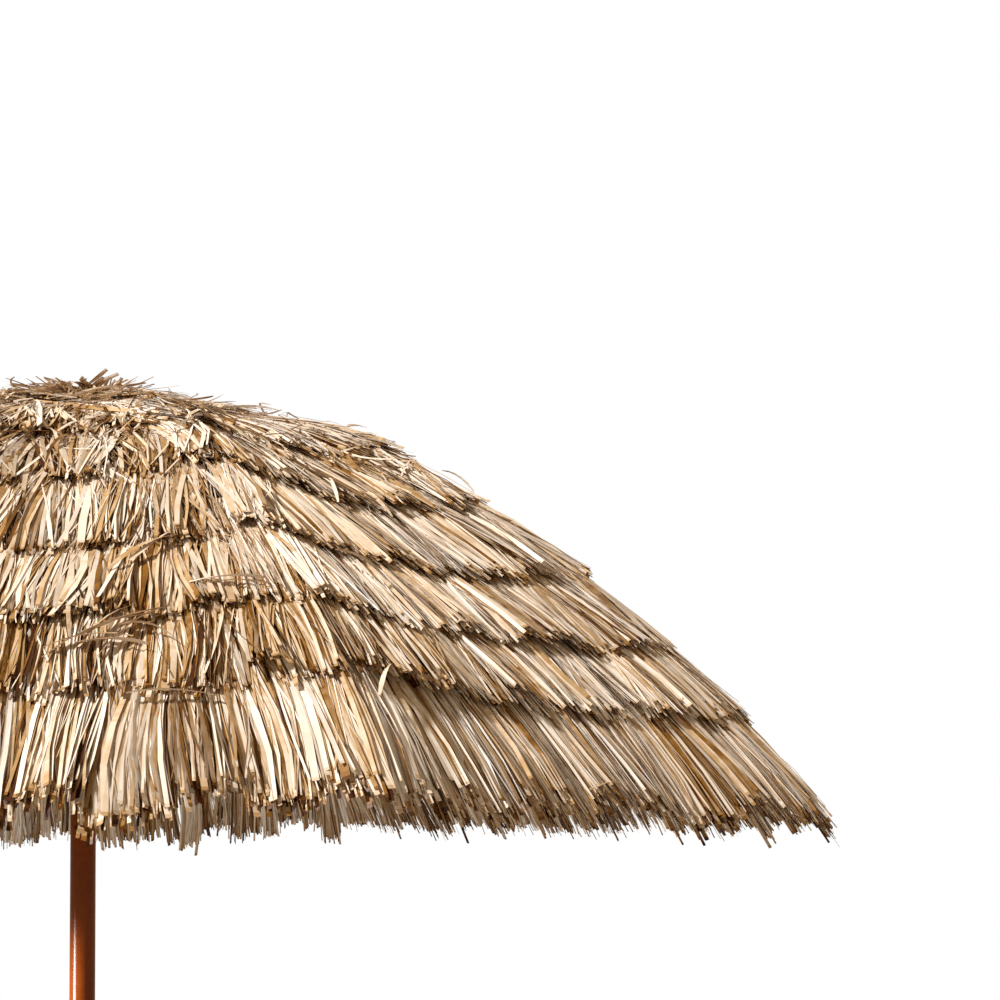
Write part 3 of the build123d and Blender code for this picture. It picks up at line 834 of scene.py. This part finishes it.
finishes = {
    "pole": frameMaterial("polePaint", (0.170, 0.032, 0.002), 0.22, metal=0.0, scale=120.0, glossy=0.22),
    "rib": frameMaterial("ribEnamel", (0.060, 0.040, 0.028), 0.38, metal=0.35, coat=0.2, scale=300.0),
    "fitting": frameMaterial(
        "blackNylon", (0.020, 0.019, 0.018), 0.48, metal=0.0, scale=900.0, bumpBy=0.0002,
    ),
    "steel": frameMaterial("zincSteel", (0.52, 0.51, 0.49), 0.32, scale=500.0),
    "brass": frameMaterial("satinBrass", (0.60, 0.41, 0.15), 0.36, scale=500.0),
}
finishOf = {
    "pole": ["lower_pole", "upper_pole"],
    "rib": [f"rib_{k + 1}" for k in range(8)] + [f"stretcher_{k + 1}" for k in range(8)],
    "fitting": ["foot_plug", "clamp_collar", "thumb_screw", "top_hub", "crown_cap", "runner"]
    + [f"rib_tip_{k + 1}" for k in range(8)],
    "steel": ["hub_ring", "crown_screw", "catch_button"],
    "brass": ["clamp_nut"],
}
for look, names in finishOf.items():
    for name in names:
        mesh = nodes[name].data
        if not mesh.materials:
            mesh.materials.append(finishes[look])
        for i in range(len(mesh.materials)):
            mesh.materials[i] = finishes[look]
print("frame finished")

view = {
    "azimuth": -84.0,
    "back": 2.7,
    "height": 1.57,
    "moved": (0.0110, 0.1910, 0.0361),
    "yaw": 7.7906,
    "pitch": 6.5178,
    "roll": -0.6495,
    "sensor": 36,
    "focal": 1.7913439,
    "shift": (0.15, 0.15),
}


def placeCamera(settings):
    data = bpy.data.cameras.new("camera")
    data.sensor_width = settings["sensor"]
    data.lens = settings["focal"] * settings["sensor"]
    data.shift_x, data.shift_y = settings["shift"]
    data.clip_start, data.clip_end = 0.05, 200
    a = math.radians(settings["azimuth"])
    at = Vector((math.cos(a), math.sin(a), 0)) * settings["back"] + Vector((0, 0, settings["height"]))
    at += Vector(settings["moved"])
    turn, rise = a + math.pi - math.radians(settings["yaw"]), math.radians(settings["pitch"])
    ahead = Vector((math.cos(turn) * math.cos(rise), math.sin(turn) * math.cos(rise), math.sin(rise)))
    right = ahead.cross(Vector((0, 0, 1))).normalized()
    up = right.cross(ahead)
    lean = math.radians(settings["roll"])
    right, up = right * math.cos(lean) + up * math.sin(lean), up * math.cos(lean) - right * math.sin(lean)
    made = bpy.data.objects.new("camera", data)
    made.matrix_world = Matrix.Translation(at) @ Matrix((right, up, -ahead)).transposed().to_4x4()
    scene.collection.objects.link(made)
    scene.camera = made


placeCamera(view)
print("camera placed")

keyLight = {
    "azimuth": -142,
    "rise": 38,
    "away": 7.0,
    "aimHeight": 1.8,
    "size": 0.6,
    "power": 930,
    "colour": (0.965, 0.985, 1.0),
}
poleLight = {
    "azimuth": -158,
    "away": 4.5,
    "height": 0.85,
    "size": 0.05,
    "angle": 16.5,
    "blend": 0.12,
    "power": 3400,
    "colour": (1.0, 0.96, 0.90),
}
air = {"colour": (1.0, 0.82, 0.60), "strength": 0.46, "behind": (1, 1, 1)}
ground = {"radius": 4.5, "segments": 96, "low": 0.001, "colour": (0.60, 0.58, 0.55), "roughness": 0.8}


def placeKeyLight(settings):
    data = bpy.data.lights.new("key", "AREA")
    data.shape = "DISK"
    data.size = settings["size"]
    data.energy = settings["power"]
    data.color = settings["colour"]
    made = bpy.data.objects.new("key", data)
    a, e = math.radians(settings["azimuth"]), math.radians(settings["rise"])
    aim = Vector((0, 0, settings["aimHeight"]))
    toLight = Vector((math.cos(a) * math.cos(e), math.sin(a) * math.cos(e), math.sin(e))) * settings["away"]
    made.location = toLight + aim
    made.rotation_euler = (toLight + aim - aim).to_track_quat("Z", "Y").to_euler()
    scene.collection.objects.link(made)


def placePoleLight(settings):
    # a narrow lamp on the length of pole just under the rim
    data = bpy.data.lights.new("poleLamp", "SPOT")
    data.energy = settings["power"]
    data.color = settings["colour"]
    data.shadow_soft_size = settings["size"]
    data.spot_size = math.radians(settings["angle"])
    data.spot_blend = settings["blend"]
    made = bpy.data.objects.new("poleLamp", data)
    a = math.radians(settings["azimuth"])
    made.location = (settings["away"] * math.cos(a), settings["away"] * math.sin(a), settings["height"])
    level = Vector((made.location.x, made.location.y, 0))
    made.rotation_euler = level.to_track_quat("Z", "Y").to_euler()
    scene.collection.objects.link(made)


placeKeyLight(keyLight)
placePoleLight(poleLight)

# warm air all round, and plain white straight behind the object
world = bpy.data.worlds.new("world")
scene.world = world
world.use_nodes = True
worldTree = world.node_tree
sky = worldTree.nodes["Background"]
sky.inputs["Color"].default_value = (*air["colour"], 1)
sky.inputs["Strength"].default_value = air["strength"]
backdrop = worldTree.nodes.new("ShaderNodeBackground")
backdrop.inputs["Color"].default_value = (*air["behind"], 1)
seen = worldTree.nodes.new("ShaderNodeLightPath")
both = worldTree.nodes.new("ShaderNodeMixShader")
worldTree.links.new(seen.outputs["Is Camera Ray"], both.inputs[0])
worldTree.links.new(sky.outputs[0], both.inputs[1])
worldTree.links.new(backdrop.outputs[0], both.inputs[2])
worldTree.links.new(both.outputs[0], worldTree.nodes["World Output"].inputs[0])
scene.view_settings.view_transform = "Standard"

floorMesh = bpy.data.meshes.new("floor")
shape = bmesh.new()
bmesh.ops.create_circle(shape, cap_ends=True, segments=ground["segments"], radius=ground["radius"])
shape.to_mesh(floorMesh)
shape.free()
floor = bpy.data.objects.new("floor", floorMesh)
floor.location.z = -ground["low"]
scene.collection.objects.link(floor)
floorLook, _, floorShader, _ = newMaterial("floor")
floorShader.inputs["Base Color"].default_value = (*ground["colour"], 1)
floorShader.inputs["Roughness"].default_value = ground["roughness"]
floorMesh.materials.append(floorLook)
print("light and floor made")
